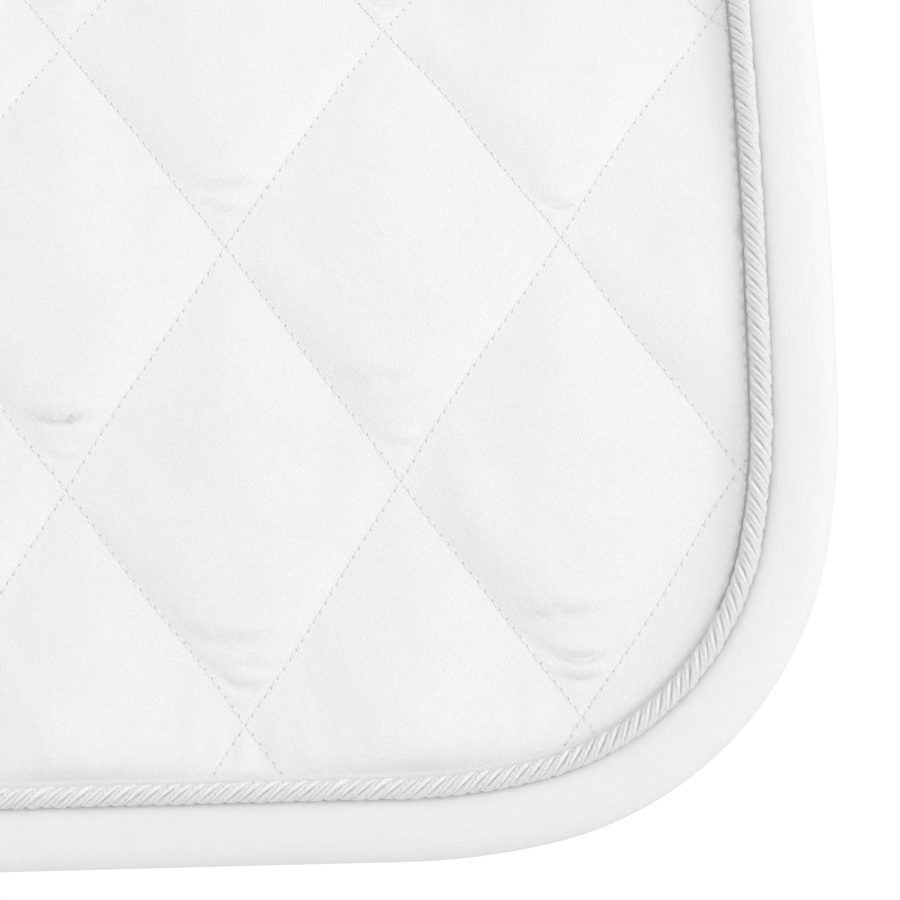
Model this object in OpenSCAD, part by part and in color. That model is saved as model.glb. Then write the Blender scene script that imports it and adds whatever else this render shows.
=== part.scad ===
// Quilted saddle pad for an English saddle, held in the shape that it takes on a horse's back.
// The two flaps are mirror images that hinge along the spine. Millimetres, +Z up, +X to the rear,
// the near (left) flap at -Y, and the origin under the middle of the spine.
// Flat-pattern points are [x, s], where s is the distance down the cloth from the spine.

/* [Outline] */
// Rear end of the spine, from the middle of the pad
spine_rear = 278; // [250:1:300]
// Lowest edge of the flap, measured down the cloth from the spine
flap_drop = 515; // [480:1:560]
// Straight run of the bottom edge between its two corners
bottom_run = 361; // [320:1:390]
// Tight radius of the rear bottom corner
rear_corner_r = 91; // [70:1:100]
// Tight radius of the front bottom corner
front_corner_r = 70; // [60:1:85]

/* [Layers] */
// Quilted cotton face, and the lining below
cloth_t = 0.8; // [0.5:0.1:1.2]
// Wadding between face and lining
wadding_t = 9; // [6:0.5:12]
// Tape of the edge binding and of the spine
tape_t = 1; // [0.6:0.1:1.4]
// Width of the binding on each face of the pad
binding_w = 22; // [16:0.5:26]
// Diameter of the twisted cord on the inner edge of the binding
cord_d = 5.5; // [4:0.5:7]

/* [Shape on the back] */
// Slope of the pad beside the spine, below horizontal
back_slope = 35; // [30:1:40]
// Straight run from the spine to the curve over the ribs
back_run = 180; // [175:1:190]
// Radius of the curve over the ribs
rib_r = 240; // [220:1:250]

/* [Spine] */
// Distance of each flap's hinge line from the spine, along the slope
hinge_s = 24; // [22:1:28]
// Slant of each end face below the hinge line, which leaves room to close
close_slant = 16; // [15.5:0.5:18]
// Slant of each end face above the hinge line, which leaves room to open
open_slant = 30; // [29.5:0.5:32]

/* [Quilting] */
// Width of one diamond
diamond_w = 85; // [70:1:100]
// Height of one diamond
diamond_h = 122; // [100:1:140]
// Width of one row of stitching
thread_w = 0.7; // [0.5:0.1:1]

/* [Girth loop] */
// Length of the webbing, end to end
loop_length = 166; // [140:2:180]
// Height of the webbing
loop_w = 38; // [25:1:45]
// Middle of the loop, forward of the middle of the pad
loop_forward = 34; // [20:1:50]
// Middle of the loop, down the cloth from the spine
loop_s = 444; // [440:1:450]
// Room under each raised span, for the girth
loop_gap = 9; // [7:0.5:12]

/* [Billet strap] */
// Width of the strap
strap_w = 25; // [20:1:30]
// Front-to-back place of the strap's middle, forward of the middle of the pad
strap_forward = 192; // [150:1:205]
// Fold of the strap, down the cloth from the spine
strap_s = 76; // [74:1:80]
// Length of the sewn half
strap_length = 100; // [80:1:102]
// Length of the free half
tab_length = 86; // [60:1:90]

/* [Hidden] */

COTTON = [0.94, 0.94, 0.95];
LINING = [0.91, 0.91, 0.90];
FILLING = [0.97, 0.97, 0.96];
TAPE = [0.93, 0.93, 0.94];
SATIN = [0.96, 0.96, 0.97];
WEBBING = [0.90, 0.90, 0.91];
FASTENER = [0.86, 0.86, 0.87];

webbing_t = 1.8;
fastener_t = 1.3;
thread_t = 0.3;
far = 700;              // longer than the pad in any direction
joint_gap = 0.25;       // each end face stands this far back from the hinge line
skin_gap = 0.02;        // keeps stitching clear of the cloth's own face

// Offsets from the face of the quilted cotton, outward
face_in = -cloth_t;
wadding_in = face_in - wadding_t;
lining_in = wadding_in - cloth_t;
tape_in = lining_in - tape_t;
cord_out = tape_t + cord_d * 0.8;

// ---- Cross-section: the face of the cloth as a curve in Y and Z, by distance s from the spine ----
rib_turn = 90 - back_slope;
rib_end = back_run + rib_r * rib_turn * PI / 180;
ridge_z = -lining_in / cos(back_slope) + tape_t / cos(back_slope);
rib_centre = [
    back_run * cos(back_slope) - rib_r * sin(back_slope),
    ridge_z - back_run * sin(back_slope) - rib_r * cos(back_slope)
];

// Point of the cross-section at distance s from the spine, d outward from the face
function section_point(s, d) =
    s <= back_run
        ? [s * cos(back_slope) + d * sin(back_slope), ridge_z - s * sin(back_slope) + d * cos(back_slope)]
    : s <= rib_end
        ? let (a = rib_turn * (1 - (s - back_run) / (rib_end - back_run)))
            rib_centre + (rib_r + d) * [cos(a), sin(a)]
    : [rib_centre[0] + rib_r + d, rib_centre[1] - (s - rib_end)];

rib_steps = 11;
hinge_d = tape_t;       // the hinge line lies on the face of the binding

// How far an end face stands back from the hinge line at offset d
function stand_back(d) =
    joint_gap + (d < hinge_d ? (hinge_d - d) * tan(close_slant) : (d - hinge_d) * tan(open_slant));

// One face of a flap's band, from the hinge to past the bottom edge
function flap_line(d) = [
    section_point(hinge_s + stand_back(d), d),
    for (i = [0 : rib_steps]) section_point(back_run + (rib_end - back_run) * i / rib_steps, d),
    section_point(flap_drop + binding_w, d)
];

// One face of the spine's band, from one hinge to the other
function spine_line(d) =
    let (end = section_point(hinge_s - stand_back(d), d), top_z = ridge_z + d / cos(back_slope))
        [[-end[0], end[1]], [0, top_z], end];

function backwards(list) = [for (i = [len(list) - 1 : -1 : 0]) list[i]];

// Extrudes a Y-Z shape along the whole pad
module along_pad(length = far, middle = 0) {
    translate([middle - length / 2, 0, 0])
        rotate([90, 0, 90])
            linear_extrude(height = length)
                children();
}

// The near flap between two offsets from its face
module flap_band(d0, d1) {
    mirror([0, 1, 0])
        along_pad()
            polygon(concat(flap_line(d1), backwards(flap_line(d0))));
}

// The spine between two offsets from its face
module spine_band(d0, d1) {
    along_pad()
        polygon(concat(spine_line(d1), backwards(spine_line(d0))));
}

// ---- Outline: arcs and straight runs walked from the rear end of the spine, round to the front ----
rear_lean = 5;          // the rear edge starts this far rearward of straight down
front_reach = 6;        // the front edge starts this far forward of straight up
front_turn = 14;        // and turns back by this much
rear_edge_r = 2600;
rear_blend_r = 180;
front_blend_r = 200;
front_edge_r = 1500;
blend_turn = 12;
rear_corner_turn = 90 - 2 * blend_turn;
front_corner_turn = 90 - front_reach - 2 * blend_turn;
rear_corner_depth =
    rear_blend_r * (1 + sin(blend_turn) - cos(blend_turn))
    + rear_corner_r * (cos(blend_turn) - sin(blend_turn));
rear_straight = flap_drop - rear_corner_depth - rear_edge_r * sin(rear_lean);

// Each run is [length, 0], or [radius, turn]
edge_runs = [
    [rear_edge_r, rear_lean],
    [rear_straight, 0],
    [rear_blend_r, blend_turn], [rear_corner_r, rear_corner_turn], [rear_blend_r, blend_turn],
    [bottom_run, 0],
    [front_blend_r, blend_turn], [front_corner_r, front_corner_turn], [front_blend_r, blend_turn],
    [front_edge_r, front_turn]
];

function heading(h) = [sin(h), cos(h)];
function inward(h) = [-cos(h), sin(h)];
// A wide arc takes few steps, because each is nearly straight
function arc_steps(run) = max(2, ceil(run[1] / (run[0] > 1000 ? 1 : 6)));

// Points of one run, inset by d, without its first point
function run_points(run, p, h, d) =
    run[1] == 0
        ? [p + run[0] * heading(h)]
        : let (r = run[0] - d, centre = p + r * inward(h), n = arc_steps(run))
            [for (i = [1 : n]) centre - r * inward(h - run[1] * i / n)];

function walk(i, p, h, d) =
    i == len(edge_runs)
        ? [p + (p[1] + binding_w) / -heading(h)[1] * heading(h)]
        : let (points = run_points(edge_runs[i], p, h, d))
            concat(points, walk(i + 1, points[len(points) - 1], h - edge_runs[i][1], d));

// The flap's outline in the flat pattern, inset by d, running on past the spine at both ends
function pattern_outline(d) =
    let (start = [spine_rear, 0] + d * inward(rear_lean))
        concat([start - binding_w / heading(rear_lean)[1] * heading(rear_lean), start],
               walk(0, start, rear_lean, d));

// A pattern point as it is seen from the side, in X and Z
function side_view(p) = [p[0], section_point(p[1], 0)[1]];

// Everything within the outline, inset by d
module within(d) {
    translate([0, far / 2, 0])
        rotate([90, 0, 0])
            linear_extrude(height = far)
                polygon([for (p = pattern_outline(d)) side_view(p)]);
}

// A layer of the near flap between two offsets, inset by d
module flap_layer(d0, d1, inset) {
    intersection() {
        flap_band(d0, d1);
        within(inset);
    }
}

module spine_layer(d0, d1, inset) {
    intersection() {
        spine_band(d0, d1);
        within(inset);
    }
}

module off_side() { mirror([0, 1, 0]) children(); }

// ---- Layers of one flap ----
module outer_fabric() { color(COTTON) flap_layer(face_in, 0, tape_t); }

module wadding() { color(FILLING) flap_layer(wadding_in, face_in, tape_t); }

module lining() { color(LINING) flap_layer(lining_in, wadding_in, tape_t); }

// Binding: one tape folded over the edge, open towards the middle of the flap
module edge_binding() {
    color(TAPE)
        difference() {
            flap_layer(tape_in, tape_t, 0);
            flap_layer(lining_in, 0, tape_t);
            within(binding_w);
        }
}

module twisted_cord() {
    color(SATIN)
        difference() {
            flap_layer(tape_t, cord_out, binding_w - cord_d);
            within(binding_w);
        }
}

// ---- Quilting: rows of thread in two directions, which cross at the corners of the diamonds ----
row_slope = diamond_w / diamond_h;  // how far a row runs along the pad for each millimetre down
row_tilt = 0.017;                   // both directions are turned a little from square to the spine
quilt_corner = [spine_rear - 16.25, 297];
row_steps = 10;
quilt_top = hinge_s + 16;
quilt_bottom = flap_drop;
first_row = -9;
last_row = 3;

// A row of stitching that leans rearward (lean 1) or forward (lean -1), as a strip in the pattern
module thread_row(n, lean) {
    half = thread_w / 2 / cos(atan(row_slope));
    levels = [for (i = [0 : row_steps]) quilt_top + (quilt_bottom - quilt_top) * i / row_steps];
    function row_x(s) =
        quilt_corner[0] + n * diamond_w + (s - quilt_corner[1]) * (row_slope * lean + row_tilt);
    polygon(concat(
        [for (s = levels) side_view([row_x(s) + half, s])],
        backwards([for (s = levels) side_view([row_x(s) - half, s])])
    ));
}

module quilting_thread() {
    color(SATIN)
        difference() {
            intersection() {
                flap_band(skin_gap, thread_t);
                within(binding_w);
                translate([0, far / 2, 0])
                    rotate([90, 0, 0])
                        linear_extrude(height = far)
                            union() {
                                for (n = [first_row : last_row], lean = [-1, 1]) thread_row(n, lean);
                            }
            }
            strap_place() strap_block(-1, cord_d, -strap_w, strap_length + 1);
            loop_place() translate([-loop_length / 2 - 1, -1, -loop_w / 2 - 1])
                cube([loop_length + 2, cord_d, loop_w + 2]);
        }
}

// ---- Girth loop: webbing sewn down at both ends and in the middle, with two raised spans ----
sewn = 18;                                  // length of each sewn stretch
span = (loop_length - 3 * sewn) / 2;
rise = 14;                                  // length of each slope at the ends of a span
loop_x = -loop_forward;

// Puts its children on the lower flap: X along the pad, +Y out of the face, Z up, middle at the origin
module loop_place() {
    at = section_point(loop_s, 0);
    translate([loop_x, -at[0], at[1]])
        mirror([0, 1, 0])
            children();
}

// Height of the webbing's back over the face, by distance u from the start of a span
function lift(u) =
    let (t = max(0, min(1, min(u, span - u) / rise)))
        loop_gap * t * t * (3 - 2 * t);

lift_steps = 24;
loop_line = concat(
    [[-loop_length / 2, 0]],
    [for (side = [0, 1], i = [0 : lift_steps])
        let (u = span * i / lift_steps)
            [-loop_length / 2 + sewn + side * (span + sewn) + u, lift(u)]],
    [[loop_length / 2, 0]]
);

module girth_loop() {
    color(WEBBING)
        loop_place()
            translate([0, 0, -loop_w / 2])
                linear_extrude(height = loop_w)
                    polygon(concat(
                        loop_line,
                        backwards([for (p = loop_line) [p[0], p[1] + webbing_t]])
                    ));
}

// A box of stitching with a cross in it, on each sewn stretch of the girth loop
stitch_inset = 3;
module stitch_line(a, b) {
    direction = b - a;
    translate([a[0], webbing_t, a[1]])
        rotate([0, -atan2(direction[1], direction[0]), 0])
            translate([-thread_w / 2, 0, -thread_w / 2])
                cube([norm(direction) + thread_w, thread_t, thread_w]);
}

module loop_stitching() {
    half_x = sewn / 2 - stitch_inset;
    half_z = loop_w / 2 - stitch_inset;
    corners = [[-half_x, -half_z], [half_x, -half_z], [half_x, half_z], [-half_x, half_z]];
    color(SATIN)
        loop_place()
            for (x = [-1, 0, 1] * (span + sewn))
                translate([x, 0, 0]) {
                    for (i = [0 : 3]) stitch_line(corners[i], corners[(i + 1) % 4]);
                    for (i = [0, 1]) stitch_line(corners[i], corners[i + 2]);
                }
}

// ---- Billet strap: a sewn half and a free half that folds down on it and holds by its fastener ----
strap_x = -strap_forward;
patch_start = 40;       // the fastener starts this far from the fold
patch_length = 44;
patch_gap = 0.3;        // between the two fasteners
fold_r = 1.5;           // the roll of webbing at the fold
fold_d = 3.2;           // its axis, outward from the face
tab_d = fold_d + fold_r + 0.1;

// Puts its children on the upper flap: X along the pad, Y down the cloth from the fold, Z out of the face
module strap_place() {
    at = section_point(strap_s, 0);
    mirror([0, 1, 0])
        translate([strap_x, at[0], at[1]])
            rotate([-back_slope, 0, 0])
                children();
}

// A block across the strap between two offsets and two distances from the fold
module strap_block(d0, d1, from, to, width = strap_w) {
    translate([-width / 2, from, d0])
        cube([width, to - from, d1 - d0]);
}

module billet_strap() {
    color(WEBBING)
        strap_place() {
            strap_block(0, webbing_t, 0, strap_length);
            translate([-strap_w / 2, 0, fold_d])
                rotate([0, 90, 0])
                    cylinder(r = fold_r, h = strap_w, $fn = 32);
        }
}

module loop_fastener() {
    color(FASTENER)
        strap_place()
            strap_block(webbing_t, webbing_t + fastener_t, patch_start, patch_start + patch_length, strap_w - 3);
}

module billet_tab() {
    color(WEBBING)
        strap_place()
            strap_block(tab_d, tab_d + webbing_t, 0, tab_length);
}

module hook_fastener() {
    color(FASTENER)
        strap_place()
            strap_block(webbing_t + fastener_t + patch_gap, tab_d, patch_start, patch_start + patch_length, strap_w - 3);
}

// ---- Spine: the two flaps' edges sewn together, with a tape over and under the seam ----
module spine_seam_core() { color(FILLING) spine_layer(wadding_in, face_in, tape_t); }

module spine_outer_tape() { color(TAPE) spine_layer(face_in, hinge_d - 0.2, binding_w); }

module spine_inner_tape() { color(TAPE) spine_layer(tape_in, wadding_in, tape_t + 0.2); }

// Two rows of stitching that hold the outer tape down
module spine_stitching() {
    row_s = hinge_s - 5;
    row_d = hinge_d - 0.2 + skin_gap;
    color(SATIN)
        for (side = [0, 1])
            mirror([0, side, 0])
                intersection() {
                    along_pad()
                        polygon([
                            section_point(row_s, row_d), section_point(row_s + thread_w, row_d),
                            section_point(row_s + thread_w, row_d + thread_t),
                            section_point(row_s, row_d + thread_t)
                        ]);
                    within(binding_w + 2);
                }
}

// The binding where it passes over the two ends of the spine
module spine_binding() {
    color(TAPE)
        difference() {
            spine_layer(tape_in, tape_t, 0);
            spine_layer(tape_in - 1, face_in, tape_t);
            within(binding_w);
        }
}

module spine_cord() {
    color(SATIN)
        difference() {
            spine_layer(tape_t, cord_out, binding_w - cord_d);
            within(binding_w);
        }
}

module front_half() { intersection() { children(); translate([-far, -far, -far]) cube([far, 2 * far, 2 * far]); } }
module rear_half() { intersection() { children(); translate([0, -far, -far]) cube([far, 2 * far, 2 * far]); } }

spine_seam_core();
spine_outer_tape();
spine_inner_tape();
spine_stitching();
front_half() spine_binding();  // spine_binding_front
rear_half() spine_binding();  // spine_binding_rear
front_half() spine_cord();  // spine_cord_front
rear_half() spine_cord();  // spine_cord_rear

outer_fabric();  // near_outer_fabric
wadding();  // near_wadding
lining();  // near_lining
quilting_thread();  // near_quilting_thread
edge_binding();  // near_edge_binding
twisted_cord();  // near_twisted_cord
girth_loop();  // near_girth_loop
loop_stitching();  // near_loop_stitching
billet_strap();  // near_billet_strap
loop_fastener();  // near_loop_fastener
billet_tab();  // near_billet_tab
hook_fastener();  // near_hook_fastener

off_side() outer_fabric();  // off_outer_fabric
off_side() wadding();  // off_wadding
off_side() lining();  // off_lining
off_side() quilting_thread();  // off_quilting_thread
off_side() edge_binding();  // off_edge_binding
off_side() twisted_cord();  // off_twisted_cord
off_side() girth_loop();  // off_girth_loop
off_side() loop_stitching();  // off_loop_stitching
off_side() billet_strap();  // off_billet_strap
off_side() loop_fastener();  // off_loop_fastener
off_side() billet_tab();  // off_billet_tab
off_side() hook_fastener();  // off_hook_fastener
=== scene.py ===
"""The saddle pad's looks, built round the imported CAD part.

Points of the flat pattern are (x, s) in millimetres: x along the pad, towards the rear, and s down the
cloth from the spine. place() bends them into the shape that the pad has on a horse's back, where d is the
distance outward from the face of the CAD's cloth. The near side is built first. The off side mirrors it, with
other creases in its cells and with the cord twisted by the same hand.
"""

import math

import bpy
import numpy as np
from mathutils import Matrix, Vector


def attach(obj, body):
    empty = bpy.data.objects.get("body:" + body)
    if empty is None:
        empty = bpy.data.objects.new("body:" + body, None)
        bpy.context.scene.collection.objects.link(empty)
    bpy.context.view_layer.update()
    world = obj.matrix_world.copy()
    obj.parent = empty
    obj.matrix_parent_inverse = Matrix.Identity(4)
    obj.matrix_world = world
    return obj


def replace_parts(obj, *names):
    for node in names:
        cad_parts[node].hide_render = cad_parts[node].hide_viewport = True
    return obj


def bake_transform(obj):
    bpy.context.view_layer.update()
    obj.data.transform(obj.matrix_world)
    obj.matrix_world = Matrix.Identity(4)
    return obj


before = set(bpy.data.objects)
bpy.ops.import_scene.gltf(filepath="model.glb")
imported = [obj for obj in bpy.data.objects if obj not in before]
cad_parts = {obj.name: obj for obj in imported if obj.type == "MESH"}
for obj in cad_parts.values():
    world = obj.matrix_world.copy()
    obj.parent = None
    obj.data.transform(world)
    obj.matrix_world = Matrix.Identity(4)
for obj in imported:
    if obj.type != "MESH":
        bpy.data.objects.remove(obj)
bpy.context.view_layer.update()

MM = 0.001
TAU = 2 * math.pi

# ---- Sizes shared with the CAD part, in millimetres and degrees ----
SPINE_REAR = 278.0
FLAP_DROP = 515.0
BOTTOM_RUN = 361.0
BACK_SLOPE = math.radians(35)
BACK_RUN = 180.0
RIB_R = 240.0
STACK = 11.6  # from the face of the cloth to the underside of the tape
RIDGE_Z = STACK / math.cos(BACK_SLOPE)
DIAMOND_W, DIAMOND_H = 85.0, 122.0
ROW_TILT = 0.017
QUILT_CORNER = (SPINE_REAR - 16.25, 297.0)
BINDING_W = 22.0
CORD_INSET = BINDING_W - 3.0
LOOP_X, LOOP_S, LOOP_LENGTH, LOOP_W = -34.0, 444.0, 166.0, 38.0
LOOP_SEWN, LOOP_GAP, LOOP_RISE = 18.0, 9.0, 14.0
STRAP_X, STRAP_S, STRAP_W = -192.0, 76.0, 25.0
STRAP_LENGTH, TAB_LENGTH = 100.0, 86.0
PATCH_FROM, PATCH_TO = 40.0, 84.0

# ---- Levels of the quilting, outward from the face of the CAD's cloth ----
SEWN_FACE = -2.7
SEWN_LINING = -7.2
PUFF = 1.05  # the simulated height of a cell, times this


def smooth(t):
    t = np.clip(t, 0, 1)
    return t * t * (3 - 2 * t)


def unit(vectors):
    return vectors / np.linalg.norm(vectors, axis=-1, keepdims=True)


def running_length(points):
    """How far along the line each of its points lies."""
    return np.r_[0, np.cumsum(np.linalg.norm(np.diff(points, axis=0), axis=1))]


# ---- From the flat pattern to the shape on the back ----
RIB_TURN = math.pi / 2 - BACK_SLOPE
RIB_END = BACK_RUN + RIB_R * RIB_TURN
RIB_Y = BACK_RUN * math.cos(BACK_SLOPE) - RIB_R * math.sin(BACK_SLOPE)
RIB_Z = RIDGE_Z - BACK_RUN * math.sin(BACK_SLOPE) - RIB_R * math.cos(BACK_SLOPE)
SPINE_R = 22.0  # the ridge over the spine is rounded off with this radius
SPINE_TURN_S = SPINE_R * math.tan(BACK_SLOPE)
WITHERS_LIFT, LOIN_LIFT, LIFT_S = 6.5, 5.0, 120.0
SWAY, SWAY_FROM, SWAY_OVER = 0.55, 60, 240


def sway(x, s):
    """The slight unevenness of a flap that hangs freely, in millimetres outward."""
    wave = np.sin(x / 61 + s / 93 + 0.6) + 0.7 * np.sin(x / 37 - s / 71 + 2.1)
    return SWAY * wave * smooth((s - SWAY_FROM) / SWAY_OVER)


def place(x, s, d, side=-1):
    """Points of the pattern, d outward from its face, in the part's frame. A negative s is past the spine."""
    x, s, d = np.broadcast_arrays(np.asarray(x, float), np.asarray(s, float), np.asarray(d, float))
    across = np.where(s < 0, -1.0, 1.0)
    s = np.abs(s)
    d = d + sway(x, s)
    turn = BACK_SLOPE * s / SPINE_TURN_S
    ridge_y = (SPINE_R + d) * np.sin(turn)
    ridge_z = RIDGE_Z - SPINE_R / math.cos(BACK_SLOPE) + (SPINE_R + d) * np.cos(turn)
    slope_y = s * math.cos(BACK_SLOPE) + d * math.sin(BACK_SLOPE)
    slope_z = RIDGE_Z - s * math.sin(BACK_SLOPE) + d * math.cos(BACK_SLOPE)
    angle = RIB_TURN * (1 - (s - BACK_RUN) / (RIB_END - BACK_RUN))
    rib_y = RIB_Y + (RIB_R + d) * np.cos(angle)
    rib_z = RIB_Z + (RIB_R + d) * np.sin(angle)
    hang_y = RIB_Y + RIB_R + d
    hang_z = RIB_Z - (s - RIB_END)
    zones = [s <= SPINE_TURN_S, s <= BACK_RUN, s <= RIB_END]
    y = np.select(zones, [ridge_y, slope_y, rib_y], hang_y)
    z = np.select(zones, [ridge_z, slope_z, rib_z], hang_z)
    lift = np.where(x < 0, WITHERS_LIFT, LOIN_LIFT) * (x / SPINE_REAR) ** 2
    z = z + lift * (1 - smooth(s / LIFT_S))
    return np.stack([x, side * across * y, z], -1)


# ---- Outline ----
REAR_LEAN, LAST_HEADING = 5, -188  # headings where the edge leaves the spine and where it meets it
EDGE_R, CORNER_R, CORNER_BLEND_R = 2600.0, 91.0, 180.0
FRONT_EDGE_R, FRONT_CORNER_R, FRONT_BLEND_R = 1500, 70, 200
BLEND, FRONT_TURN, FRONT_LEAN = 12, 84, 14


def heading(h):
    return np.array([math.sin(math.radians(h)), math.cos(math.radians(h))])


def inward(h):
    return np.array([-math.cos(math.radians(h)), math.sin(math.radians(h))])


def walk_outline(step=1.5):
    """Points of the pattern's edge, from the spine's rear end to its front end, and the directions inward."""
    c, s = math.cos(math.radians(BLEND)), math.sin(math.radians(BLEND))
    corner_depth = CORNER_BLEND_R * (1 + s - c) + CORNER_R * (c - s)
    straight = FLAP_DROP - corner_depth - EDGE_R * math.sin(math.radians(REAR_LEAN))
    # Radius and turn in degrees, or length and no turn. The last run, of no length, reaches to the spine.
    runs = [
        (EDGE_R, REAR_LEAN), (straight, 0),
        (CORNER_BLEND_R, BLEND), (CORNER_R, 90 - 2 * BLEND), (CORNER_BLEND_R, BLEND),
        (BOTTOM_RUN, 0),
        (FRONT_BLEND_R, BLEND), (FRONT_CORNER_R, FRONT_TURN - 2 * BLEND), (FRONT_BLEND_R, BLEND),
        (FRONT_EDGE_R, FRONT_LEAN), (0, 0),
    ]
    at, h = np.array([SPINE_REAR, 0.0]), float(REAR_LEAN)
    points, normals = [at], [inward(h)]
    for size, turn in runs:
        if turn:
            count = max(2, math.ceil(size * math.radians(turn) / step))
            centre = at + size * inward(h)
            for i in range(1, count + 1):
                points.append(centre - size * inward(h - turn * i / count))
                normals.append(inward(h - turn * i / count))
            h -= turn
        else:
            length = size or at[1] / -heading(h)[1]
            count = math.ceil(length / step)
            for i in range(1, count + 1):
                points.append(at + heading(h) * length * i / count)
                normals.append(inward(h))
        at = points[-1]
    return np.array(points), np.array(normals)


EDGE, EDGE_IN = walk_outline()
EDGE_ALONG = running_length(EDGE)
MITRE = 30.0  # the sections turn square to the spine over this length at each end


def edge_sections(inset):
    """Points of the pattern at each inset from each point of the edge. The end sections lie on the spine."""
    inset = np.asarray(inset, float)
    tangent = np.stack([EDGE_IN[:, 1], -EDGE_IN[:, 0]], -1)
    points = EDGE[:, None] + inset[None, :, None] * EDGE_IN[:, None]
    near_end = np.clip(1 - np.minimum(EDGE_ALONG, EDGE_ALONG[-1] - EDGE_ALONG) / MITRE, 0, 1)
    shift = -(inset[None] * EDGE_IN[:, 1:2]) / tangent[:, 1:2] * near_end[:, None]
    return points + shift[..., None] * tangent[:, None]


CHUNK = 20000  # points measured at a time, to spare memory


def edge_distance(x, s):
    """How far inside the edge each point lies, and the inward direction at the nearest point of the edge."""
    guide = np.arange(0, len(EDGE), 2)
    back = EDGE[0] - heading(REAR_LEAN) * np.arange(30, 0, -3)[:, None]
    ahead = EDGE[-1] + heading(LAST_HEADING) * np.arange(3, 33, 3)[:, None]
    line = np.concatenate([back, EDGE[guide], ahead])
    first, last = np.repeat(EDGE_IN[:1], len(back), 0), np.repeat(EDGE_IN[-1:], len(ahead), 0)
    normal = np.concatenate([first, EDGE_IN[guide], last])
    flat = np.stack([np.ravel(x), np.ravel(s)], -1)
    inside, direction = np.empty(len(flat)), np.empty((len(flat), 2))
    for a in range(0, len(flat), CHUNK):
        part = flat[a : a + CHUNK]
        gap = (part[:, None, 0] - line[None, :, 0]) ** 2 + (part[:, None, 1] - line[None, :, 1]) ** 2
        k = gap.argmin(1)
        direction[a : a + CHUNK] = normal[k]
        inside[a : a + CHUNK] = ((part - line[k]) * normal[k]).sum(1)
    return inside.reshape(np.shape(x)), direction.reshape(np.shape(x) + (2,))


# ---- Quilting lattice: two families of rows, where p or q is a whole number ----
WIDENING = DIAMOND_W / DIAMOND_H  # of a diamond to each side, going up from its lower corner
SIDE_LENGTH = math.hypot(DIAMOND_W / 2, DIAMOND_H / 2)
ROW_GAP = 69.7  # between neighbouring rows, square to them, to 0.1 mm
STITCHES = 26  # along one side of a diamond
CELLS = (-9, 3)  # the first and the last row of both families


def lattice_point(p, q):
    """Where rows p and q cross. It takes places between rows too. The rows waver a little."""
    s = QUILT_CORNER[1] + (q - p) * DIAMOND_H / 2
    x = QUILT_CORNER[0] + (p + q) * DIAMOND_W / 2 + (s - QUILT_CORNER[1]) * ROW_TILT
    x = x + 0.35 * np.sin(4.1 * p + 2.3 * q) + 0.25 * np.sin(9.2 * q - 7.7 * p)
    s = s + 0.35 * np.sin(5.3 * p - 2.9 * q + 1.0) + 0.2 * np.sin(8.3 * p + 9.1 * q)
    return x, s


def cell_ticks(count, crowd):
    """Places along one side of a cell, closer together near the seams."""
    t = np.arange(count) / count
    return t - crowd / TAU * np.sin(TAU * t)


def cubic_weights(places, count):
    """The matrix that reads count + 1 evenly spaced values at the places, from 0 to 1, by a smooth cubic."""
    weights = np.zeros((len(places), count + 1))
    for row, t in enumerate(np.clip(places, 0, 1) * count):
        i = min(int(t), count - 1)
        f = t - i
        terms = (
            (-0.5 * f + f * f - 0.5 * f**3, -1),
            (1 - 2.5 * f * f + 1.5 * f**3, 0),
            (0.5 * f + 2 * f * f - 1.5 * f**3, 1),
            (-0.5 * f * f + 0.5 * f**3, 2),
        )
        for w, k in terms:
            weights[row, min(max(i + k, 0), count)] += w
    return weights


# ---- Cloth simulation of a few cells, held along their seams, filled and sagging down the flap ----
SIM_STEPS = 48
SIM_FRAMES = 40
SIM_CELLS = 6
SIM_SPACING = 12.0  # in centimetres
SIM_PRESSURE, SIM_GRAVITY = 0.7, 3.5


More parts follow.
